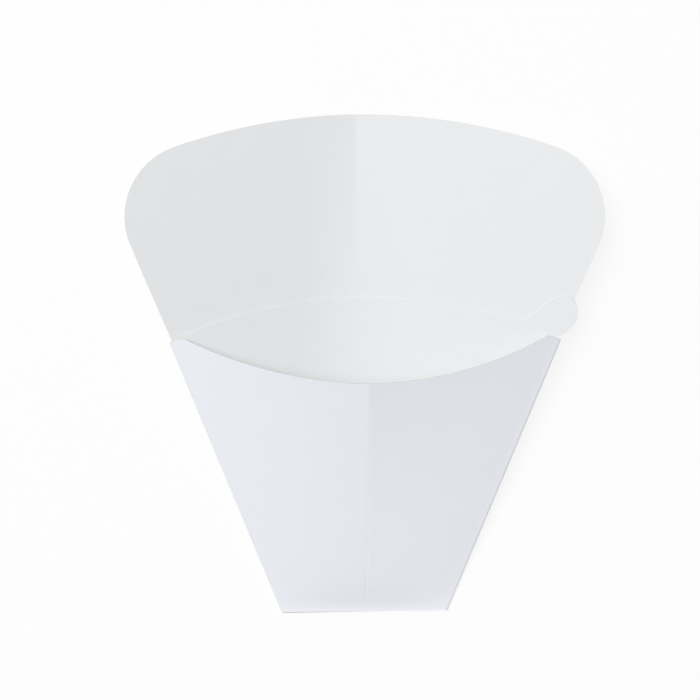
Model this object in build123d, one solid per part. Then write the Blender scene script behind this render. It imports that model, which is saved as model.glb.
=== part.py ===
from build123d import *
import os
from math import atan, hypot, tan

# Crepe holder: one die-cut sheet of white board, creased, folded round and glued.
# It lies on its back crease: X runs across, +Y from the closed base to the top, +Z out of the back.
# While it is being built, Y is measured from the base. The last step moves the origin to the middle.

# Board
card = 0.40                     # thickness
glue_bond = 0.05                # how far glued layers press into each other
fold_gap = 0.11                 # how much further up the front lies than glued, beside the side folds

# Base and side folds
base_width = 60.0               # closed base, over both side folds
seam_height = 6.0               # strip above the base where all layers are glued flat
fold_slope = 0.387              # how fast a side fold runs outwards with height
seam_ease = 4.0                 # the boards part in a bend about this high above the seam
edge_rise_rate = 0.17           # how fast the side folds rise off the back crease
edge_rise_fade = 420.0          # height above the seam where that rate would have halved the rise

# Front board
mouth_corner_height = 101.0     # top of the side folds
corner_flat = 4.8               # straight cut across each side fold
mouth_dip = 87.0                # height of the front edge at its crease
ridge_crease = 8.6              # what the crease adds to the front's height over the folds, at its edge
ridge_bulge = 4.0               # what the bulge of its boards adds, nearly from the base up
ridge_bulge_reach = 6.0         # height above the seam where the bulge is half of that
fold_bevel = 0.3                # width of the bevels that stand for the roundness of a side fold
fold_core_low = 0.3             # the folds are solid from here up to as far below their top

# Back board
back_height = 180.2
back_crease_shift = -3.0        # the back crease lies left of the middle
top_arc_radius = 204.0
wing_corner_radius = 26.5
wing_slope = 0.410              # side edges above the mouth, a little wider than the folds
wing_inset_left = 0.7           # their step in from the side fold
wing_inset_right = 1.2

# Liner, glued to the inside of the back board
liner_top = 114.8
liner_arc_radius = 181.0
liner_end_inset = 3.6           # its glued end stops short of the left fold
liner_bite = 0.2                # its other end runs this far into the right fold
liner_bend_half = 9.0           # it rounds the back crease over twice this width

# Ear: the liner's right end, from the liner's arc round to the side fold
ear_edge = ((56.2, 106.4), (60.4, 109.9), (64.2, 113.4), (68.2, 115.3), (71.8, 115.9), (74.1, 114.0),
            (75.1, 110.0), (74.0, 105.9), (71.2, 103.2), (68.2, 101.6), (65.0, 99.0))
ear_root = (52.0, 98.0)         # inside the liner
ear_neck = 66.5                 # the liner's own side stops inside the ear

# Derived sizes
layer = card - glue_bond        # step from one glued layer to the next
front_level = 2 * layer + fold_gap
stack = front_level + card      # all three layers at the seam and over a side fold
fold_depth = stack / 2          # from a side fold's outside to the line where its boards part
spare = 4.0                     # boards are lofted this much too wide, then cut to outline
fold_stations = (seam_height, 14.0, 28.0, 46.0, 65.0, 85.0, 104.0)
liner_stations = fold_stations + (125.0,)
back_stations = liner_stations + (150.0, back_height + 2.0)


def half_width(y):
    """Half the width over the side folds at height y."""
    return base_width / 2 + fold_slope * y


def parting(y):
    """Distance from the middle of the holder to where front and back part, inside a side fold."""
    return half_width(y) - fold_depth


def opened(y):
    """Height above the seam, eased so that the boards leave it without a kink."""
    above = max(y - seam_height, 0)
    return above ** 2 / (above + seam_ease)


def edge_rise(y):
    """How far the side folds stand above the back crease at height y."""
    return edge_rise_rate * opened(y) / (1 + opened(y) / edge_rise_fade)


def ridge_rise(y):
    """How far the front crease stands above the side folds at height y."""
    along = opened(y) / opened(mouth_dip)
    return ridge_crease * along ** 2 + ridge_bulge * opened(y) / (opened(y) + ridge_bulge_reach)


def back_rise(x, y):
    """Height of the back board's underside above its crease."""
    across = x - back_crease_shift
    if across > 0:
        return edge_rise(y) * across / (parting(y) - back_crease_shift)
    return -edge_rise(y) * across / (parting(y) + back_crease_shift)


def front_rise(x, y):
    """Height of the front board's underside, a ridge over the side folds."""
    return front_level + edge_rise(y) + ridge_rise(y) * (1 - abs(x) / parting(y))


def cross_plane(y):
    """Plane of the cross-section at height y, with its own axes along X and Z."""
    return Plane(origin=(0, y, 0), x_dir=(1, 0, 0), z_dir=(0, -1, 0))


def thickened(underside):
    """Closed outline of one board thickness over a line of points."""
    topside = [(x, z + card) for x, z in reversed(underside)]
    return Polyline(*underside, *topside, close=True)


def back_section(y):
    """Back board: a shallow V."""
    wide = half_width(y) + spare
    return thickened([(-wide, back_rise(-wide, y)), (back_crease_shift, 0), (wide, back_rise(wide, y))])


def front_section(y):
    """Front board: a ridge."""
    wide = half_width(y) + spare
    return thickened([(x, front_rise(x, y)) for x in (-wide, 0, wide)])


def liner_section(y):
    """Liner: it lies on the back board, but bridges the back crease with a round bend."""
    wide = half_width(y) + spare
    bend_left, bend_right = back_crease_shift - liner_bend_half, back_crease_shift + liner_bend_half
    low = [(x, back_rise(x, y) + layer) for x in (-wide, bend_left, bend_right, wide)]
    board_angle = atan(edge_rise(y) / parting(y))
    chord_height = (low[1][1] + low[2][1]) / 2
    sagitta = liner_bend_half * tan(board_angle / 2) + 0.002
    low_middle = (back_crease_shift, chord_height - sagitta)
    high = [(x, z + card) for x, z in low]
    high_middle = (low_middle[0], low_middle[1] + card)
    return Wire([
        Line(low[0], low[1]), ThreePointArc(low[1], low_middle, low[2]), Line(low[2], low[3]),
        Line(low[3], high[3]),
        Line(high[3], high[2]), ThreePointArc(high[2], high_middle, high[1]), Line(high[1], high[0]),
        Line(high[0], low[0])])


def fold_core_section(side, y):
    """Inside of a side fold, from the front board to the back board."""
    inner, outer = side * parting(y), side * (half_width(y) + spare)
    low, high = edge_rise(y) + fold_core_low, edge_rise(y) + stack - fold_core_low
    return Polyline((inner, low), (outer, low), (outer, high), (inner, high), close=True)


def under_bevel_section(side, y):
    """Triangle that takes the lower corner off a side fold."""
    edge, z = half_width(y), back_rise(side * half_width(y), y)
    inner, outer, reach = side * (edge - fold_bevel - 1), side * (edge + 1), fold_bevel + 1
    return Polyline((inner, z - 1), (outer, z + reach), (outer, z - 1), close=True)


def upper_bevel_section(side, y):
    """Triangle that takes the upper corner off a side fold."""
    edge, z = half_width(y), front_rise(half_width(y), y) + card
    inner, outer, reach = side * (edge - fold_bevel - 1), side * (edge + 1), fold_bevel + 1
    return Polyline((inner, z + 1), (outer, z - reach), (outer, z + 1), close=True)


def board(section_at, stations):
    """Loft cross-sections through the given heights."""
    return loft([make_face(cross_plane(y) * section_at(y)) for y in stations])


def cut_to(plan, solid):
    """Keep what lies over a flat outline in plan."""
    return solid & (Pos(0, 0, -5) * extrude(plan, amount=80))


def corner_point(inwards):
    """Plan point on the right corner's straight cut, square to the fold, so far in from its outside."""
    length = hypot(1, fold_slope)
    return (
        half_width(mouth_corner_height) - inwards / length,
        mouth_corner_height + inwards * fold_slope / length)


def mirrored(point):
    """The same plan point on the left side."""
    return (-point[0], point[1])


def disc_below(top, radius):
    """Disc in plan whose highest point is at the given height."""
    return Pos(0, top - radius) * Circle(radius)


def back_plan():
    """Outline of the back: folds up to the mouth, flaring wings above it, and an arc on top."""
    left_foot, right_foot = mirrored(corner_point(wing_inset_left)), corner_point(wing_inset_right)
    left_head = (left_foot[0] - wing_slope * (back_height - left_foot[1]), back_height)
    right_head = (right_foot[0] + wing_slope * (back_height - right_foot[1]), back_height)
    corner, base = corner_point(0), (half_width(0), 0)
    sides = Polyline(
        mirrored(base), mirrored(corner), left_foot, left_head,
        right_head, right_foot, corner, base, close=True)
    sheet = make_face(sides) & disc_below(back_height, top_arc_radius)
    wing_corners = sheet.vertices().sort_by(Axis.Y)[-2:]
    return fillet(wing_corners, wing_corner_radius)


def liner_plan():
    """Outline of the liner: an arc on top, a glued end on the left and the ear on the right."""
    fold_end = mouth_corner_height - 3
    sides = Polyline(
        (liner_end_inset - half_width(0), 0), (liner_end_inset - half_width(liner_top), liner_top),
        (ear_neck, liner_top), (ear_neck, fold_end), (parting(fold_end) + liner_bite, fold_end),
        (parting(0) + liner_bite, 0), close=True)
    ear = make_face(Wire([
        Spline(*ear_edge), Line(ear_edge[-1], ear_root), Line(ear_root, ear_edge[0])]))
    return (make_face(sides) & disc_below(liner_top, liner_arc_radius)) + ear


def front_plan():
    """Outline of the front: a hollow mouth edge between corners cut square to the side folds."""
    corner, inner, foot = corner_point(0), corner_point(corner_flat), (half_width(-1), -1)
    edge = ThreePointArc(mirrored(inner), (0, mouth_dip), inner)
    rest = Polyline(inner, corner, foot, mirrored(foot), mirrored(corner), mirrored(inner))
    return make_face(Wire([edge, *rest.edges()]))


def glued_seam():
    """All three layers, pressed flat and glued along the base."""
    low, high = half_width(0), half_width(seam_height)
    plan = Polyline((-low, 0), (low, 0), (high, seam_height), (-high, seam_height), close=True)
    return extrude(make_face(plan), amount=stack)


def folded_card():
    """The whole folded sheet as one solid, its origin at the bottom middle of its box."""
    front = board(front_section, fold_stations)
    for side in (-1, 1):
        front += board(lambda y: fold_core_section(side, y), fold_stations)
    back = cut_to(back_plan(), board(back_section, back_stations))
    folded = back + cut_to(front_plan(), front) + glued_seam()
    for side in (-1, 1):
        folded -= board(lambda y: under_bevel_section(side, y), (-1.0,) + fold_stations)
        folded -= board(lambda y: upper_bevel_section(side, y), (-1.0,) + fold_stations)
    sheet = folded + cut_to(liner_plan(), board(liner_section, liner_stations))
    middle = sheet.bounding_box().center()
    return Pos(-middle.X, -middle.Y, 0) * sheet


os.makedirs("parts", exist_ok=True)
holder = folded_card()
export_step(holder, "parts/folded_card.step")
print("solids", len(holder.solids()), "volume in cm3", round(holder.volume / 1000, 2))
print("box", holder.bounding_box())
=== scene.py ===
"""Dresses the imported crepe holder: one die-cut sheet of white food board, folded, glued and opened.

The sheet is laid out flat in a plan of its own, in millimetres from the middle of the closed base.
A geometry node tree lifts it into its opened shape, in metres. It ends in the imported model's frame.
"""

import logging
import math
from collections.abc import Callable, Iterable
from dataclasses import dataclass, field
from enum import Enum
from functools import partial

import bpy
import numpy as np
from mathutils import Matrix, Vector
from mathutils.geometry import delaunay_2d_cdt

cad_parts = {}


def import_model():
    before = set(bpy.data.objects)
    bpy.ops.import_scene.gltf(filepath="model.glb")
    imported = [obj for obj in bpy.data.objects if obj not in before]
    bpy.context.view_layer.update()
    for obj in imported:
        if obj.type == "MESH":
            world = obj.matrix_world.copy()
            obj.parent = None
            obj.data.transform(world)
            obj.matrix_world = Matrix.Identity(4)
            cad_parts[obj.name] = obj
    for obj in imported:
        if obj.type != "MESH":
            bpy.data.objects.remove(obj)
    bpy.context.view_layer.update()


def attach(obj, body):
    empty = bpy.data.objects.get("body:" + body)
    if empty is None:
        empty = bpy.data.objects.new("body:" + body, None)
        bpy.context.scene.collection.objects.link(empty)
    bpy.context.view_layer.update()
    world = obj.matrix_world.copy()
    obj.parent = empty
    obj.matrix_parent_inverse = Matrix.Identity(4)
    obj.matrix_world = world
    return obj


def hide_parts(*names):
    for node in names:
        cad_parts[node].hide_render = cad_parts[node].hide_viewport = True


LOG = logging.getLogger("crepe_holder")
MM = 0.001
NOISE_SPAN = (0.3, 0.7)             # nearly all values of a noise texture lie between these
SAME_PLACE = 1e-6                   # points of the plan closer than this are one, in mm
TRIANGLES_INSIDE = 1                # asks the triangulation for triangles inside the outline alone
# What each point of the plan says of itself, with its scale into the mesh: whether it is on the
# front, how high its layer lies, how far it stands out in a side fold, over how much of each side
# its crease turns where it is opened out, how crisp that is, and how high its scored line stands.
FACTS = {"front": 1.0, "layer": MM, "out": MM, "bend": MM, "sharp": 1.0, "bead": MM}

Point = tuple[float, float]
Fact = float | Callable[[float], float]     # the same all over a panel, or a rule of the height


class Side(Enum):
    """The faces of the board, each with the number of its material slot on the sheet."""

    INNER = 0
    OUTER = 1
    CUT = 2


def linear(hex_colour: str) -> tuple[float, float, float, float]:
    """Turns an sRGB hex colour into linear values.

    Args:
        hex_colour: The colour as "#RRGGBB".

    Returns:
        Red, green, blue and an alpha of 1, all linear.
    """
    digits = hex_colour.lstrip("#")
    shares = (int(digits[i:i + 2], 16) / 255 for i in (0, 2, 4))
    red, green, blue = (
        s / 12.92 if s <= 0.04045 else ((s + 0.055) / 1.055) ** 2.4 for s in shares)
    return red, green, blue, 1.0


def add_node(tree: bpy.types.NodeTree, kind: str, links: dict[str | int, object] | None = None,
             **settings: object) -> bpy.types.Node:
    """Adds a node with its settings and its inputs.

    Args:
        tree: The node tree that gets the node.
        kind: The node's type, as Blender names it.
        links: For each input, by name or number, a socket to link from or a plain value.
        **settings: The node's own properties.

    Returns:
        The new node.
    """
    node = tree.nodes.new(kind)
    for name, value in settings.items():
        setattr(node, name, value)
    for name, value in (links or {}).items():
        socket = node.inputs[name]
        if isinstance(value, bpy.types.NodeSocket):
            tree.links.new(value, socket)
        else:
            socket.default_value = value
    return node


def new_material(name: str) -> tuple[bpy.types.Material, bpy.types.NodeTree]:
    """Makes an empty node material.

    Args:
        name: The material's name.

    Returns:
        The material and its emptied node tree.
    """
    material = bpy.data.materials.new(name)
    material.use_nodes = True
    material.node_tree.nodes.clear()
    return material, material.node_tree


def background_rays(tree: bpy.types.NodeTree) -> bpy.types.NodeSocket:
    """Tells the rays that show the background from those that light things.

    Args:
        tree: The node tree that asks.

    Returns:
        A socket that is 1 for camera, glossy and transmission rays and 0 for others.
    """
    rays = add_node(tree, "ShaderNodeLightPath").outputs
    through = add_node(tree, "ShaderNodeMath", {
        0: rays["Is Glossy Ray"], 1: rays["Is Transmission Ray"]}, operation="MAXIMUM")
    shown = add_node(tree, "ShaderNodeMath", {
        0: rays["Is Camera Ray"], 1: through.outputs["Value"]}, operation="MAXIMUM")
    return shown.outputs["Value"]


@dataclass(frozen=True)
class CoatedBoard:
    """Bleached food board, clay coated and calendered: a cool white with a weak, even sheen."""

    name: str = "coated_bleached_board"
    colour: str = "#F1F3F9"
    cloud_colour: str = "#EFF1F7"
    roughness: float = 0.48
    gloss_change: float = 0.05      # how far the roughness strays from that, fibre by fibre
    specular: float = 0.35
    ior: float = 1.5
    cloud_mm: float = 9.0           # how far apart denser and thinner patches of pulp lie
    cloud_octaves: float = 3.0
    cloud_edge: float = 0.55
    fibre_mm: float = 0.9           # fibres are 0.03 mm wide, drawn coarser so that they show
    fibre_octaves: float = 4.0
    fibre_edge: float = 0.65
    fibre_twist: float = 0.8
    fibre_height_mm: float = 0.006

    def build(self) -> bpy.types.Material:
        """Makes the material.

        Returns:
            A material of cloudy pulp colour, fibre relief and a soft sheen.
        """
        material, tree = new_material(self.name)
        place = add_node(tree, "ShaderNodeTexCoord").outputs["Object"]
        clouds = add_node(tree, "ShaderNodeTexNoise", {
            "Vector": place, "Scale": 1 / (self.cloud_mm * MM), "Detail": self.cloud_octaves,
            "Roughness": self.cloud_edge})
        fibres = add_node(tree, "ShaderNodeTexNoise", {
            "Vector": place, "Scale": 1 / (self.fibre_mm * MM), "Detail": self.fibre_octaves,
            "Roughness": self.fibre_edge, "Distortion": self.fibre_twist})
        tone = add_node(tree, "ShaderNodeMix", {
            "Factor": clouds.outputs["Fac"], "A": linear(self.colour),
            "B": linear(self.cloud_colour)}, data_type="RGBA")
        gloss = add_node(tree, "ShaderNodeMapRange", {
            "Value": fibres.outputs["Fac"], "From Min": NOISE_SPAN[0], "From Max": NOISE_SPAN[1],
            "To Min": self.roughness - self.gloss_change,
            "To Max": self.roughness + self.gloss_change})
        relief = add_node(tree, "ShaderNodeBump", {
            "Height": fibres.outputs["Fac"], "Strength": 1.0,
            "Distance": self.fibre_height_mm * MM})
        board = add_node(tree, "ShaderNodeBsdfPrincipled", {
            "Base Color": tone.outputs["Result"], "Roughness": gloss.outputs["Result"],
            "Normal": relief.outputs["Normal"], "Specular IOR Level": self.specular,
            "IOR": self.ior})
        add_node(tree, "ShaderNodeOutputMaterial", {"Surface": board.outputs["BSDF"]})
        return material


@dataclass(frozen=True)
class UncoatedBoard(CoatedBoard):
    """The food side of the same board, left uncoated: matt, a little warmer, with more fibre."""

    name: str = "uncoated_bleached_board"
    colour: str = "#EBECED"
    cloud_colour: str = "#E9EAEB"
    roughness: float = 0.68
    specular: float = 0.25
    fibre_height_mm: float = 0.010


@dataclass(frozen=True)
class CutEdgeWithPaintedShade(CoatedBoard):
    """The die-cut edge: open pulp in the middle of the board, rough and without sheen, its grey
    partly the pulp's own and partly painted shade.
    """

    name: str = "die_cut_edge_and_painted_shade"
    # The grey of the cut edge is partly the pulp's own and partly painted shade: it is darkened to
    # stand in for the thin shadow lines along the liner's edge and the mouth's edge.
    colour: str = "#DFDEDC"
    cloud_colour: str = "#CFCECB"
    roughness: float = 0.85
    specular: float = 0.15
    cloud_mm: float = 1.6
    fibre_mm: float = 0.5
    fibre_height_mm: float = 0.03


@dataclass(frozen=True)
class PaleFloor:
    """A seamless white studio sweep: it takes soft shadows and otherwise shows as plain white."""

    name: str = "white_sweep"
    colour: str = "#F8F8F8"
    glow: float = 0.85              # share of plain white in what the camera and reflections see

    def build(self) -> bpy.types.Material:
        """Makes the material.

        Returns:
            A matt material that looks nearly white, but lights other things as a pale grey does.
        """
        material, tree = new_material(self.name)
        matt = add_node(tree, "ShaderNodeBsdfDiffuse", {"Color": linear(self.colour)})
        white = add_node(tree, "ShaderNodeEmission", {"Strength": 1.0})
        share = add_node(tree, "ShaderNodeMath", {
            0: background_rays(tree), 1: self.glow}, operation="MULTIPLY")
        both = add_node(tree, "ShaderNodeMixShader", {
            "Fac": share.outputs["Value"], 1: matt.outputs["BSDF"], 2: white.outputs["Emission"]})
        add_node(tree, "ShaderNodeOutputMaterial", {"Surface": both.outputs["Shader"]})
        return material


@dataclass(frozen=True)
class Crease:
    """The line of a crease in the plan."""

    base_x: float                   # where it crosses the base
    lean: float = 0.0               # how fast it runs to the right with height


@dataclass(frozen=True)
class OpeningRule:
    """How the holder stands open: the height of each panel at each place of the plan."""

    base_half: float = 30.0         # half the closed base's width
    fold_slope: float = 0.390       # how fast a side fold runs outwards with height
    parting_depth: float = 0.6      # from a side fold's outside to where the boards part
    seam_height: float = 1.0        # the boards lie flat on each other up to here
    seam_ease: float = 8.0          # and part in a bend about this high
    rise_rate: float = 0.167        # how fast the side folds rise off the back's crease
    rise_fade: float = 420.0        # height above the seam where that rise would be half as much
    mouth_dip: float = 86.55        # height of the front's edge at its crease
    ridge_crease: float = 8.6       # how far its crease lifts the front over the folds, at its edge
    ridge_bulge: float = 4.0        # how far the bulge of its boards lifts it, nearly from the base
    bulge_reach: float = 6.0        # height above the seam where the bulge is half of that
    back_crease: Crease = Crease(-6.63, lean=0.0230)
    front_crease: Crease = Crease(0.56)
    crease_half: float = 0.9        # half the width over which a crisp crease turns
    score_half: float = 0.75        # half the width of a scored line

    def opened(self, y: float) -> float:
        """Height above the seam, eased so that the boards leave it without a kink."""
        above = max(y - self.seam_height, 0.0)
        return above ** 2 / (above + self.seam_ease)

    def half_width(self, y: float) -> float:
        """Half the width over the side folds at height y."""
        return self.base_half + self.fold_slope * y

    def tree(self) -> bpy.types.NodeTree:
        """Makes the node tree that lifts the flat plan of the sheet into its opened shape.

        Returns:
            A geometry node tree with one named input for each size of the rule.
        """
        tree = bpy.data.node_groups.new("open_the_holder", "GeometryNodeTree")
        face = tree.interface
        face.new_socket("Geometry", in_out="INPUT", socket_type="NodeSocketGeometry")
        for name in self.inputs():
            face.new_socket(name, in_out="INPUT", socket_type="NodeSocketFloat")
        face.new_socket("Material", in_out="INPUT", socket_type="NodeSocketMaterial")
        face.new_socket("Geometry", in_out="OUTPUT", socket_type="NodeSocketGeometry")
        given = add_node(tree, "NodeGroupInput").outputs

        def step(operation: str, *values: bpy.types.NodeSocket | float) -> bpy.types.NodeSocket:
            """Adds one step of arithmetic and returns its result."""
            links = dict(enumerate(values))
            return add_node(tree, "ShaderNodeMath", links, operation=operation).outputs["Value"]

        def told(name: str) -> bpy.types.NodeSocket:
            """Reads what each point of the plan says of itself under this name."""
            links = {"Name": name}
            node = add_node(tree, "GeometryNodeInputNamedAttribute", links, data_type="FLOAT")
            return node.outputs["Attribute"]

        plus, minus = partial(step, "ADD"), partial(step, "SUBTRACT")
        times, over = partial(step, "MULTIPLY"), partial(step, "DIVIDE")
        place = add_node(tree, "ShaderNodeSeparateXYZ", {
            "Vector": add_node(tree, "GeometryNodeInputPosition").outputs["Position"]}).outputs
        front, wide, sharp = told("front"), told("bend"), told("sharp")

        # How far the boards stand open at the point's height.
        above = step("MAXIMUM", minus(place["Y"], given["Seam height"]), 0.0)
        opened = over(times(above, above), plus(above, given["Seam ease"]))
        rise = over(times(given["Rise rate"], opened), plus(over(opened, given["Rise fade"]), 1.0))
        along = over(opened, given["Opened at mouth"])
        ridge = times(given["Ridge crease"], times(along, along))
        bulge = times(given["Ridge bulge"], over(opened, plus(opened, given["Bulge reach"])))

        # Where the point lies between its crease and the side fold on its own side.
        width = step("MULTIPLY_ADD", place["Y"], given["Fold slope"], given["Base half width"])
        back_x = step("MULTIPLY_ADD", place["Y"], given["Back lean"], given["Back crease"])
        crease_x = plus(times(back_x, minus(1.0, front)), times(given["Front crease"], front))
        across = minus(place["X"], crease_x)
        distance = step("ABSOLUTE", across)
        side = over(across, step("MAXIMUM", distance, wide))
        span = minus(minus(width, given["Parting depth"]), times(side, crease_x))

        def turned(half: bpy.types.NodeSocket) -> bpy.types.NodeSocket:
            """Turns the distance from the crease into a height of slope 1 with a rounded foot.

            Args:
                half: How far from the crease the round reaches.

            Returns:
                The height, which is 0 on the crease.
            """
            inside = minus(half, step("MINIMUM", distance, half))
            foot = over(times(inside, inside), times(half, 2.0))
            return minus(plus(distance, foot), times(half, 0.5))

        # What share of its side's height the point has: 0 on the crease and 1 on the side fold.
        blunt = minus(1.0, sharp)
        folded = plus(times(sharp, turned(given["Crease half width"])), times(blunt, turned(wide)))
        share = over(folded, minus(span, times(times(blunt, wide), 0.5)))
        valley = times(rise, share)
        arch = minus(1.0, times(share, share))
        roof = plus(rise, plus(times(ridge, minus(1.0, share)), times(bulge, arch)))
        panel = plus(valley, times(front, minus(roof, valley)))

        near = over(distance, given["Score half width"])
        hump = step("MAXIMUM", minus(1.0, times(near, near)), 0.0)
        score = times(times(hump, hump), told("bead"))

        moved = add_node(tree, "ShaderNodeCombineXYZ", {
            "X": plus(place["X"], told("out")), "Y": place["Y"],
            "Z": plus(plus(panel, told("layer")), score)})
        lifted = add_node(tree, "GeometryNodeSetPosition", {
            "Geometry": given["Geometry"], "Position": moved.outputs["Vector"]})
        real = add_node(tree, "GeometryNodeRealizeInstances", {
            "Geometry": lifted.outputs["Geometry"]})
        dressed = add_node(tree, "GeometryNodeSetMaterial", {
            "Geometry": real.outputs["Geometry"], "Material": given["Material"]})
        add_node(tree, "NodeGroupOutput", {"Geometry": dressed.outputs["Geometry"]})
        return tree

    def inputs(self) -> dict[str, float]:
        """Lists the sizes that the tree takes.

        Returns:
            The value of each input by its name, in metres where it is a length.
        """
        return {
            "Base half width": self.base_half * MM,
            "Fold slope": self.fold_slope,
            "Parting depth": self.parting_depth * MM,
            "Seam height": self.seam_height * MM,
            "Seam ease": self.seam_ease * MM,
            "Rise rate": self.rise_rate,
            "Rise fade": self.rise_fade * MM,
            "Opened at mouth": self.opened(self.mouth_dip) * MM,
            "Ridge crease": self.ridge_crease * MM,
            "Ridge bulge": self.ridge_bulge * MM,
            "Bulge reach": self.bulge_reach * MM,
            "Back crease": self.back_crease.base_x * MM,
            "Back lean": self.back_crease.lean,
            "Front crease": self.front_crease.base_x * MM,
            "Crease half width": self.crease_half * MM,
            "Score half width": self.score_half * MM}

    def open(self, piece: bpy.types.Object, board: bpy.types.Material) -> bpy.types.Mesh:
        """Runs the tree on a flat plan.

        Args:
            piece: The object that carries the plan as its mesh.
            board: The material that the tree sets.

        Returns:
            A plain mesh of the opened sheet.
        """
        modifier = piece.modifiers.new("open", "NODES")
        modifier.node_group = self.tree()
        values = {**self.inputs(), "Material": board}
        for item in modifier.node_group.interface.items_tree:
            if item.in_out == "INPUT" and item.name in values:
                modifier[item.identifier] = values[item.name]
        mesh = baked(piece)
        piece.modifiers.remove(modifier)
        return mesh


def baked(piece: bpy.types.Object) -> bpy.types.Mesh:
    """Applies an object's modifiers.

    Args:
        piece: The object.

    Returns:
        A plain mesh of the object as its modifiers show it.
    """
    graph = bpy.context.evaluated_depsgraph_get()
    graph.update()
    return bpy.data.meshes.new_from_object(piece.evaluated_get(graph))


def well_inside(spots: np.ndarray, outline: np.ndarray, least: float) -> np.ndarray:
    """Picks the spots inside an outline.

    Args:
        spots: The places to choose from, one in each row.
        outline: The closed outline, a point in each row.
        least: How far from the outline a spot has to lie.

    Returns:
        The rows of spots that lie inside and far enough from it.
    """
    inside = np.zeros(len(spots), dtype=bool)
    gap = np.full(len(spots), np.inf)
    for (ax, ay), (bx, by) in zip(outline, np.roll(outline, -1, axis=0)):
        if ay != by:
            crossing = ax + (spots[:, 1] - ay) * (bx - ax) / (by - ay)
            inside ^= ((ay > spots[:, 1]) != (by > spots[:, 1])) & (spots[:, 0] < crossing)
        run = np.array((bx - ax, by - ay))
        share = np.clip(((spots - (ax, ay)) @ run) / max(run @ run, SAME_PLACE ** 2), 0, 1)
        gap = np.minimum(gap, np.linalg.norm(spots - (ax, ay) - share[:, None] * run, axis=1))
    return spots[inside & (gap > least)]


@dataclass
class Plan:
    """Points and faces of the sheet before it is opened, with what each point says of itself."""

    points: list[Point] = field(default_factory=list)
    faces: list[tuple[int, ...]] = field(default_factory=list)
    facts: dict[str, list[float]] = field(default_factory=lambda: {name: [] for name in FACTS})

    def add(self, points: Iterable[Point], **facts: float | list[float]) -> list[int]:
        """Adds points.

        Args:
            points: Their plan places.
            **facts: For each fact one value, or a value for each point. The others are 0.

        Returns:
            The numbers of the new points.
        """
        first = len(self.points)
        self.points.extend(points)
        count = len(self.points) - first
        for name, column in self.facts.items():
            value = facts.get(name, 0.0)
            column.extend(value if isinstance(value, list) else [value] * count)
        return list(range(first, first + count))

    def mesh(self) -> bpy.types.Mesh:
        """Makes the plan a flat mesh.

        Returns:
            A mesh in metres that carries the facts as attributes of its points.
        """
        mesh = bpy.data.meshes.new("flat_plan")
        mesh.from_pydata([(x * MM, y * MM, 0.0) for x, y in self.points], [], self.faces)
        for name, column in self.facts.items():
            attribute = mesh.attributes.new(name, "FLOAT", "POINT")
            attribute.data.foreach_set("value", np.array(column) * FACTS[name])
        return mesh


@dataclass(frozen=True)
class Wing:
    """One of the two wings of the back, above the side folds."""

    inset: float                    # its side stands this far in from the fold's outside
    slope: float                    # how fast the side runs outwards
    radius: float                   # of its round corner


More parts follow.
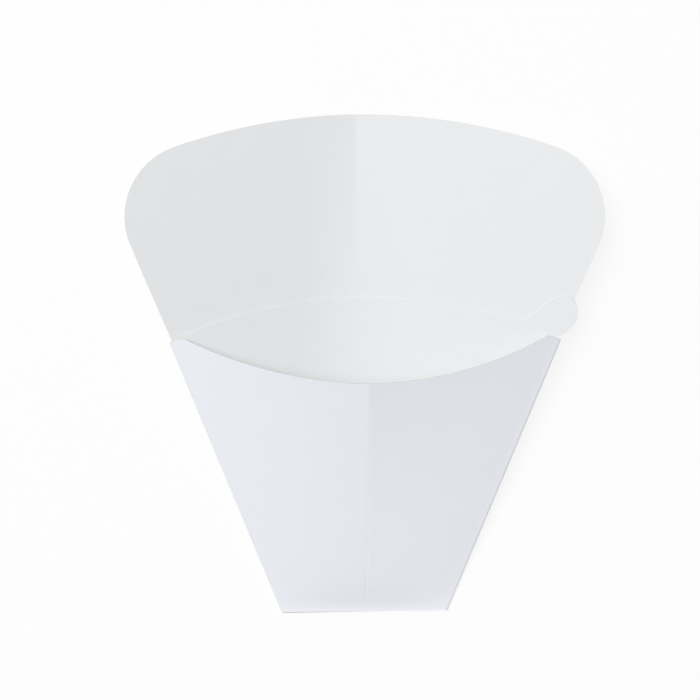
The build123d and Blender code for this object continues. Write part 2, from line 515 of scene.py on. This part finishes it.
@dataclass
class FoldedSheet:
    """The die-cut sheet: back, left fold, front, right fold and liner, in one piece."""

    rule: OpeningRule = field(default_factory=OpeningRule)
    middle: Point = (-0.237, 90.1)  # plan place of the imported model's origin
    card: float = 0.4               # thickness of the board
    layer_step: float = 0.36        # from one glued layer to the next
    fold_gap: float = 0.11          # how much further up the front lies, beside the side folds
    fold_reach: float = 1.35        # how far in from its outside a side fold begins to turn
    fold_steps: int = 10

    grid: float = 1.7               # spacing of the points inside a panel
    edge_step: float = 1.2          # spacing of the points along an outline
    edge_gap: float = 0.5           # how many such steps inner points stay away from it
    ear_step: float = 0.6           # how many such steps lie between points along the ear
    crease_columns: tuple[float, ...] = (       # distances of close columns from a crease
        0.0, 0.15, 0.3, 0.45, 0.6, 0.75, 0.95, 1.25, 1.7, 2.4)
    column_gap: float = 0.8         # how much of a grid step follows the last of them
    sharp_angle: float = 50.0       # edges of the mesh that turn more are sharp, in degrees

    back_bend: float = 18.0         # half the width over which the back's opened-out crease turns
    crisp_from: float = 112.0       # the back's crease is opened out up to here,
    crisp_to: float = 215.0         # and would be crisp from here up
    back_bead: float = 0.02         # height of the scored line on the back
    front_groove: float = -0.09     # height of the scored line on the front, at the base,
    groove_fade: float = 0.0013     # and how fast it fills with height

    corner_height: float = 100.4    # top of the side folds
    corner_flat: float = 4.8        # straight cut across each side fold
    mouth_skew: float = 0.7         # lowers the mouth's edge on the right and lifts it on the left
    base_line: float = 0.35         # height of the cut at the base
    base_skew: float = 0.45         # how far the back's left base corner shows below the front
    skew_fade: int = 8              # how steeply that ends up the left side fold

    back_height: float = 180.03
    top_radius: float = 207.8
    top_shift: float = 0.75         # the top arc's highest point lies this far left of the middle
    left_wing: Wing = Wing(inset=0.83, slope=0.411, radius=25.8)
    right_wing: Wing = Wing(inset=1.08, slope=0.418, radius=26.1)

    liner_top: float = 114.8
    liner_radius: float = 181.0
    liner_end: float = 3.6          # the glued end stops this far from the left fold
    ear: tuple[Point, ...] = (
        (71.2, 103.2), (74.0, 105.9), (75.1, 110.0), (74.1, 114.0), (71.8, 115.9), (68.2, 115.3),
        (64.2, 113.4), (60.4, 109.9))
    ear_notch: float = 55.6         # where the ear leaves the liner's arc

    def corner(self, inwards: float) -> Point:
        """Finds a place on the right corner's straight cut, which is square to the side fold.

        Args:
            inwards: How far it is from the fold's outside.

        Returns:
            Its plan place.
        """
        length = math.hypot(1, self.rule.fold_slope)
        return (self.rule.half_width(self.corner_height) - inwards / length,
                self.corner_height + inwards * self.rule.fold_slope / length)

    def fold_line(self) -> list[Point]:
        """Lays points along the line where the right side fold begins to turn.

        Returns:
            The points, from the base to the corner's cut.
        """
        share = 1 + self.rule.fold_slope ** 2
        top = self.corner_height + self.rule.fold_slope * self.fold_reach / share
        count = round((top - self.base_line) / self.edge_step)
        heights = [self.base_line + (top - self.base_line) * i / count for i in range(count + 1)]
        return [(self.rule.half_width(y) - self.fold_reach, y) for y in heights]

    def straight(self, start: Point, stop: Point) -> list[Point]:
        """Lays points along a straight line.

        Args:
            start: Where it starts.
            stop: Where it stops.

        Returns:
            Evenly spaced points, both ends included.
        """
        steps = max(1, round(math.dist(start, stop) / self.edge_step))
        run = stop[0] - start[0], stop[1] - start[1]
        return [(start[0] + run[0] * i / steps, start[1] + run[1] * i / steps)
                for i in range(steps + 1)]

    def arc_between(self, start: Point, stop: Point, top: float, radius: float,
                    centre_x: float = 0.0) -> list[Point]:
        """Lays points strictly between two places on an arc.

        Args:
            start: Where the arc starts.
            stop: Where it stops.
            top: The height of its highest or lowest point.
            radius: Its radius, negative for an arc whose lowest point is at top.
            centre_x: Where its centre lies across the sheet.

        Returns:
            Points along it, without its ends.
        """
        centre_y = top - radius
        way = math.copysign(1, radius)
        first = math.atan2(start[0] - centre_x, (start[1] - centre_y) * way)
        last = math.atan2(stop[0] - centre_x, (stop[1] - centre_y) * way)
        steps = max(2, round(abs(radius * (last - first)) / self.edge_step))
        angles = [first + (last - first) * i / steps for i in range(1, steps)]
        return [(centre_x + abs(radius) * math.sin(angle), centre_y + radius * math.cos(angle))
                for angle in angles]

    def smooth(self, knots: list[Point]) -> list[Point]:
        """Lays points along an even curve, a Catmull-Rom spline.

        Args:
            knots: The points that it runs through.

        Returns:
            Points along it, both ends included.
        """
        ends = [knots[0], *knots, knots[-1]]
        line: list[Point] = []
        for a, b, c, d in zip(ends, ends[1:], ends[2:], ends[3:]):
            steps = max(2, round(math.dist(b, c) / (self.ear_step * self.edge_step)))
            for i in range(steps):
                t = i / steps
                line.append(tuple(
                    0.5 * (2 * q + (r - p) * t + (2 * p - 5 * q + 4 * r - s) * t ** 2
                           + (3 * q - p - 3 * r + s) * t ** 3)
                    for p, q, r, s in zip(a, b, c, d)))
        return [*line, knots[-1]]

    def wing_line(self, wing: Wing, side: int) -> list[Point]:
        """Lays points along a wing's side and its round corner.

        Args:
            wing: The wing's sizes.
            side: 1 on the right and -1 on the left.

        Returns:
            Points from the foot of the side to where the round meets the top arc.
        """
        foot = self.corner(wing.inset)
        top_centre = (-side * self.top_shift, self.back_height - self.top_radius)
        length = math.hypot(1, wing.slope)
        ux, uy = wing.slope / length, 1 / length
        # The round's centre keeps its radius from the side, and lies as far below the top arc.
        start = (foot[0] - uy * wing.radius - top_centre[0],
                 foot[1] + ux * wing.radius - top_centre[1])
        reach = self.top_radius - wing.radius
        along = start[0] * ux + start[1] * uy
        run = -along + math.sqrt(along ** 2 - start[0] ** 2 - start[1] ** 2 + reach ** 2)
        centre = (start[0] + ux * run + top_centre[0], start[1] + uy * run + top_centre[1])
        touch = (centre[0] + uy * wing.radius, centre[1] - ux * wing.radius)
        first = math.atan2(-ux, uy)
        last = math.atan2(centre[1] - top_centre[1], centre[0] - top_centre[0])
        steps = max(2, round(wing.radius * (last - first) / self.edge_step))
        angles = [first + (last - first) * i / steps for i in range(1, steps + 1)]
        line = self.straight(foot, touch)
        line += [(centre[0] + wing.radius * math.cos(angle),
                  centre[1] + wing.radius * math.sin(angle)) for angle in angles]
        return [(side * x, y) for x, y in line]

    def back_outline(self, left: list[Point]) -> list[Point]:
        """Draws the back.

        Args:
            left: The points up the left side fold, base first.

        Returns:
            Its closed outline, anticlockwise from the base's right corner.
        """
        right_wing = self.wing_line(self.right_wing, 1)
        left_wing = self.wing_line(self.left_wing, -1)
        foot = right_wing[0]
        base = (foot[0] - self.rule.fold_slope * (foot[1] - self.base_line), self.base_line)
        arc = self.arc_between(
            right_wing[-1], left_wing[-1], self.back_height, self.top_radius, -self.top_shift)
        return [
            *self.straight(base, foot), *right_wing[1:], *arc, *reversed(left_wing),
            *reversed(left), *self.straight(left[0], base)[1:-1]]

    def front_outline(self, left: list[Point], right: list[Point]) -> list[Point]:
        """Draws the front.

        Args:
            left: The points up the left side fold, base first.
            right: The points up the right side fold, base first.

        Returns:
            Its closed outline, anticlockwise from the base's right corner.
        """
        inner = self.corner(self.corner_flat)
        drop = inner[1] - self.rule.mouth_dip
        radius = (inner[0] ** 2 + drop ** 2) / (2 * drop)
        arc = self.arc_between(inner, (-inner[0], inner[1]), self.rule.mouth_dip, -radius)
        mouth = [(x, y - self.mouth_skew * (x / inner[0]) * (1 - (x / inner[0]) ** 2))
                 for x, y in arc]
        flat = self.straight(right[-1], inner)[1:]
        return [
            *right, *flat, *mouth, *((-x, y) for x, y in reversed(flat)), *reversed(left),
            *self.straight(left[0], right[0])[1:-1]]

    def liner_outline(self, right: list[Point]) -> list[Point]:
        """Draws the liner.

        Args:
            right: The points up the right side fold, base first.

        Returns:
            Its closed outline, anticlockwise from the base's right corner.
        """
        centre = self.liner_top - self.liner_radius
        notch_y = centre + math.sqrt(self.liner_radius ** 2 - self.ear_notch ** 2)
        notch = (self.ear_notch, notch_y)
        ear = self.smooth([right[-1], *self.ear, notch])
        # The glued end is a line x = run - slope * y, and high is where it meets the arc.
        slope, run = self.rule.fold_slope, self.liner_end - self.rule.base_half
        spread, lift = 1 + slope ** 2, run * slope + centre
        rest = run ** 2 + centre ** 2 - self.liner_radius ** 2
        high_y = (lift + math.sqrt(lift ** 2 - spread * rest)) / spread
        high = (run - slope * high_y, high_y)
        low = (self.liner_end - self.rule.half_width(self.base_line), self.base_line)
        arc = self.arc_between(notch, high, self.liner_top, self.liner_radius)
        return [
            *right, *ear[1:], *arc, *self.straight(high, low),
            *self.straight(low, right[0])[1:-1]]

    def inner_points(self, outline: list[Point], crease: Crease) -> list[Point]:
        """Fills an outline with points, in close columns along the crease and evenly elsewhere.

        Args:
            outline: The closed outline.
            crease: The crease that the columns follow.

        Returns:
            The points, none of them too near the outline.
        """
        edge = np.array(outline)
        low, high = edge.min(axis=0), edge.max(axis=0)
        rows = np.arange(low[1] + self.grid / 2, high[1], self.grid)
        near = np.array(self.crease_columns)
        far = np.arange(near[-1] + self.grid * self.column_gap, high[0] - low[0], self.grid)
        columns = crease.base_x + np.concatenate([-far[::-1], -near[:0:-1], near, far])
        spots = np.array([(x + crease.lean * y, y) for y in rows for x in columns])
        return [tuple(spot) for spot in well_inside(spots, edge, self.edge_gap * self.edge_step)]

    def crispness(self, y: float) -> float:
        """How crisp the back's crease is at height y, from 0 to 1."""
        return min(max((y - self.crisp_from) / (self.crisp_to - self.crisp_from), 0.0), 1.0)

    def scoring(self, y: float) -> float:
        """How high the scored line on the front stands at height y."""
        return self.front_groove + self.groove_fade * y

    def panel(self, plan: Plan, outline: list[Point], crease: Crease, flip: bool,
              **facts: Fact) -> list[int]:
        """Adds one flat panel of the sheet to the plan.

        Args:
            plan: The plan that gets the panel.
            outline: Its closed outline.
            crease: Its crease.
            flip: Whether its inner face looks down.
            **facts: What its points say of themselves, as a value or as a rule of their height.

        Returns:
            The numbers of the outline's points.
        """
        spots = [*outline, *self.inner_points(outline, crease)]
        told = {name: [fact(y) for _, y in spots] if callable(fact) else fact
                for name, fact in facts.items()}
        numbers = plan.add(spots, **told)
        ring = list(range(len(outline)))
        _, _, triangles, sources, _, _ = delaunay_2d_cdt(
            [Vector(spot) for spot in spots], [], [ring], TRIANGLES_INSIDE, SAME_PLACE)
        for triangle in triangles:
            face = [numbers[sources[i][0]] for i in triangle]
            plan.faces.append(tuple(reversed(face)) if flip else tuple(face))
        return numbers[:len(outline)]

    def side_fold(self, plan: Plan, start: list[int], stop: list[int], side: int) -> None:
        """Adds the turning part of a side fold between two panels.

        Args:
            plan: The plan that gets the fold.
            start: The lower panel's points up the fold.
            stop: The upper panel's points up the fold, as many.
            side: 1 on the right and -1 on the left.
        """
        reach = self.fold_reach - self.card / 2
        rows = [start]
        for k in range(1, self.fold_steps):
            angle = math.pi * (k / self.fold_steps - 0.5)
            lift, out = (1 + math.sin(angle)) / 2, math.cos(angle) * reach
            points, facts = [], {name: [] for name in plan.facts}
            for i, (a, b) in enumerate(zip(start, stop)):
                drop = self.rule.fold_slope * out * i / (len(start) - 1)
                (ax, ay), (bx, by) = plan.points[a], plan.points[b]
                points.append((ax + (bx - ax) * lift, ay + (by - ay) * lift - drop))
                for name, column in plan.facts.items():
                    facts[name].append(column[a] + (column[b] - column[a]) * lift)
            facts["out"] = [side * out] * len(points)
            rows.append(plan.add(points, **facts))
        rows.append(stop)
        for low, high in zip(rows, rows[1:]):
            for i in range(len(low) - 1):
                square = (low[i], high[i], high[i + 1], low[i + 1])
                plan.faces.append(square if side > 0 else tuple(reversed(square)))

    def plan(self) -> Plan:
        """Lays out the whole sheet, layer by layer and then fold by fold.

        Returns:
            The plan of all panels and folds.
        """
        plan, back_layer = Plan(), self.card / 2
        liner_layer = back_layer + self.layer_step
        front_layer = back_layer + 2 * self.layer_step + self.fold_gap
        right = self.fold_line()
        left = [(-x, y) for x, y in right]
        top = len(left) - 1
        lowered = [(x, y - self.base_skew * (1 - i / top) ** self.skew_fade)
                   for i, (x, y) in enumerate(left)]

        outline = self.back_outline(lowered)
        back = self.panel(
            plan, outline, self.rule.back_crease, False, layer=back_layer,
            bend=self.back_bend, sharp=self.crispness, bead=self.back_bead)
        back_left = [back[outline.index(point)] for point in lowered]
        outline = self.front_outline(left, right)
        front = self.panel(
            plan, outline, self.rule.front_crease, True, front=1.0, layer=front_layer,
            bend=self.back_bend, sharp=1.0, bead=self.scoring)
        front_left = [front[outline.index(point)] for point in left]
        liner = self.panel(
            plan, self.liner_outline(right), self.rule.back_crease, False, layer=liner_layer,
            bend=self.back_bend)
        self.side_fold(plan, back_left, front_left, -1)
        self.side_fold(plan, liner[:len(right)], front[:len(right)], 1)
        return plan

    def build(self, faces: dict[Side, bpy.types.Material]) -> bpy.types.Object:
        """Makes the sheet: laid out, opened, given its thickness and moved to its place.

        Args:
            faces: The material of each face of the board.

        Returns:
            The finished object.
        """
        plan = self.plan()
        piece = bpy.data.objects.new("folded_sheet", plan.mesh())
        bpy.context.scene.collection.objects.link(piece)
        piece.data = self.rule.open(piece, faces[Side.INNER])
        piece.data.materials.clear()
        for side in Side:
            piece.data.materials.append(faces[side])
        for name in plan.facts:
            piece.data.attributes.remove(piece.data.attributes[name])
        wall = piece.modifiers.new("wall", "SOLIDIFY")
        wall.thickness, wall.offset, wall.use_even_offset = self.card * MM, 0.0, True
        wall.material_offset, wall.material_offset_rim = Side.OUTER.value, Side.CUT.value
        piece.data = baked(piece)
        piece.modifiers.clear()
        origin_x, origin_y = self.middle
        piece.data.transform(Matrix.Translation((-origin_x * MM, -origin_y * MM, 0.0)))
        piece.data.shade_smooth()
        piece.data.set_sharp_from_angle(angle=math.radians(self.sharp_angle))
        piece.data.name = piece.name
        return piece


@dataclass
class Studio:
    """The pale floor, the soft light and the camera over the lying holder, in metres."""

    floor_half: float = 2.5
    floor_drop: float = 0.00005     # keeps the floor clear of what rests on it
    key_place: tuple[float, float, float] = (-1.42, 1.69, 4.0)
    key_size: float = 3.0
    key_watts: float = 163.5
    key_colour: tuple[float, float, float] = (0.99, 0.995, 1.0)
    sky: float = 0.345              # what the world gives to everything that it lights
    camera_place: tuple[float, float, float] = (-0.04482, 0.10881, 0.90437)
    swing: float = -2.533           # the camera's tilt off the vertical across the holder, and
    tilt: float = 6.509             # along it, in degrees
    roll: float = -0.174            # how far it is turned in its own frame, in degrees
    lens: float = 130.415
    sensor: float = 36.0            # width in mm, as the lens
    clip: tuple[float, float] = (0.01, 20.0)

    def floor(self) -> None:
        """Lays the floor."""
        half, height = self.floor_half, -self.floor_drop
        mesh = bpy.data.meshes.new("floor")
        mesh.from_pydata([
            (-half, -half, height), (half, -half, height), (half, half, height),
            (-half, half, height)], [], [(0, 1, 2, 3)])
        mesh.materials.append(PaleFloor().build())
        floor = bpy.data.objects.new("floor", mesh)
        bpy.context.scene.collection.objects.link(floor)

    def light(self) -> None:
        """Sets a large soft box at the upper left and an even sky that shows as white."""
        lamp = bpy.data.lights.new("soft_box", "AREA")
        lamp.shape, lamp.size, lamp.energy = "SQUARE", self.key_size, self.key_watts
        lamp.color = self.key_colour
        box = bpy.data.objects.new("soft_box", lamp)
        box.location = self.key_place
        box.rotation_euler = (-Vector(self.key_place)).to_track_quat("-Z", "Y").to_euler()
        bpy.context.scene.collection.objects.link(box)
        world = bpy.data.worlds.new("studio")
        world.use_nodes = True
        tree = world.node_tree
        tree.nodes.clear()
        strength = add_node(tree, "ShaderNodeMapRange", {
            "Value": background_rays(tree), "To Min": self.sky, "To Max": 1.0})
        sky = add_node(tree, "ShaderNodeBackground", {
            "Color": (1.0, 1.0, 1.0, 1.0), "Strength": strength.outputs["Result"]})
        add_node(tree, "ShaderNodeOutputWorld", {"Surface": sky.outputs["Background"]})
        bpy.context.scene.world = world

    def camera(self) -> None:
        """Hangs the camera over the holder, at the photograph's angle to it."""
        data = bpy.data.cameras.new("camera")
        data.sensor_width, data.lens = self.sensor, self.lens
        data.clip_start, data.clip_end = self.clip
        camera = bpy.data.objects.new("camera", data)
        bpy.context.scene.collection.objects.link(camera)
        swing, tilt, roll = (math.radians(turn) for turn in (self.swing, self.tilt, self.roll))
        back = Vector((math.tan(swing), math.tan(tilt), 1.0)).normalized()
        right = Vector((0, 1, 0)).cross(back).normalized()
        hung = Matrix((right, back.cross(right), back)).transposed()
        turned = hung @ Matrix.Rotation(roll, 3, "Z")
        camera.matrix_world = Matrix.Translation(self.camera_place) @ turned.to_4x4()
        bpy.context.scene.camera = camera


def main() -> None:
    """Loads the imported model, dresses it and sets the studio."""
    logging.basicConfig(level=logging.INFO, format="%(name)s: %(message)s")
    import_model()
    bpy.context.scene.view_settings.view_transform = "Standard"

    studio = Studio()
    studio.floor()
    studio.light()
    studio.camera()
    LOG.info("studio set")

    faces = {
        Side.INNER: UncoatedBoard().build(), Side.OUTER: CoatedBoard().build(),
        Side.CUT: CutEdgeWithPaintedShade().build()}
    sheet = FoldedSheet().build(faces)
    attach(sheet, "root")
    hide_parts("folded_card")
    LOG.info("%s: %d faces", sheet.name, len(sheet.data.polygons))


if __name__ == "__main__":
    main()
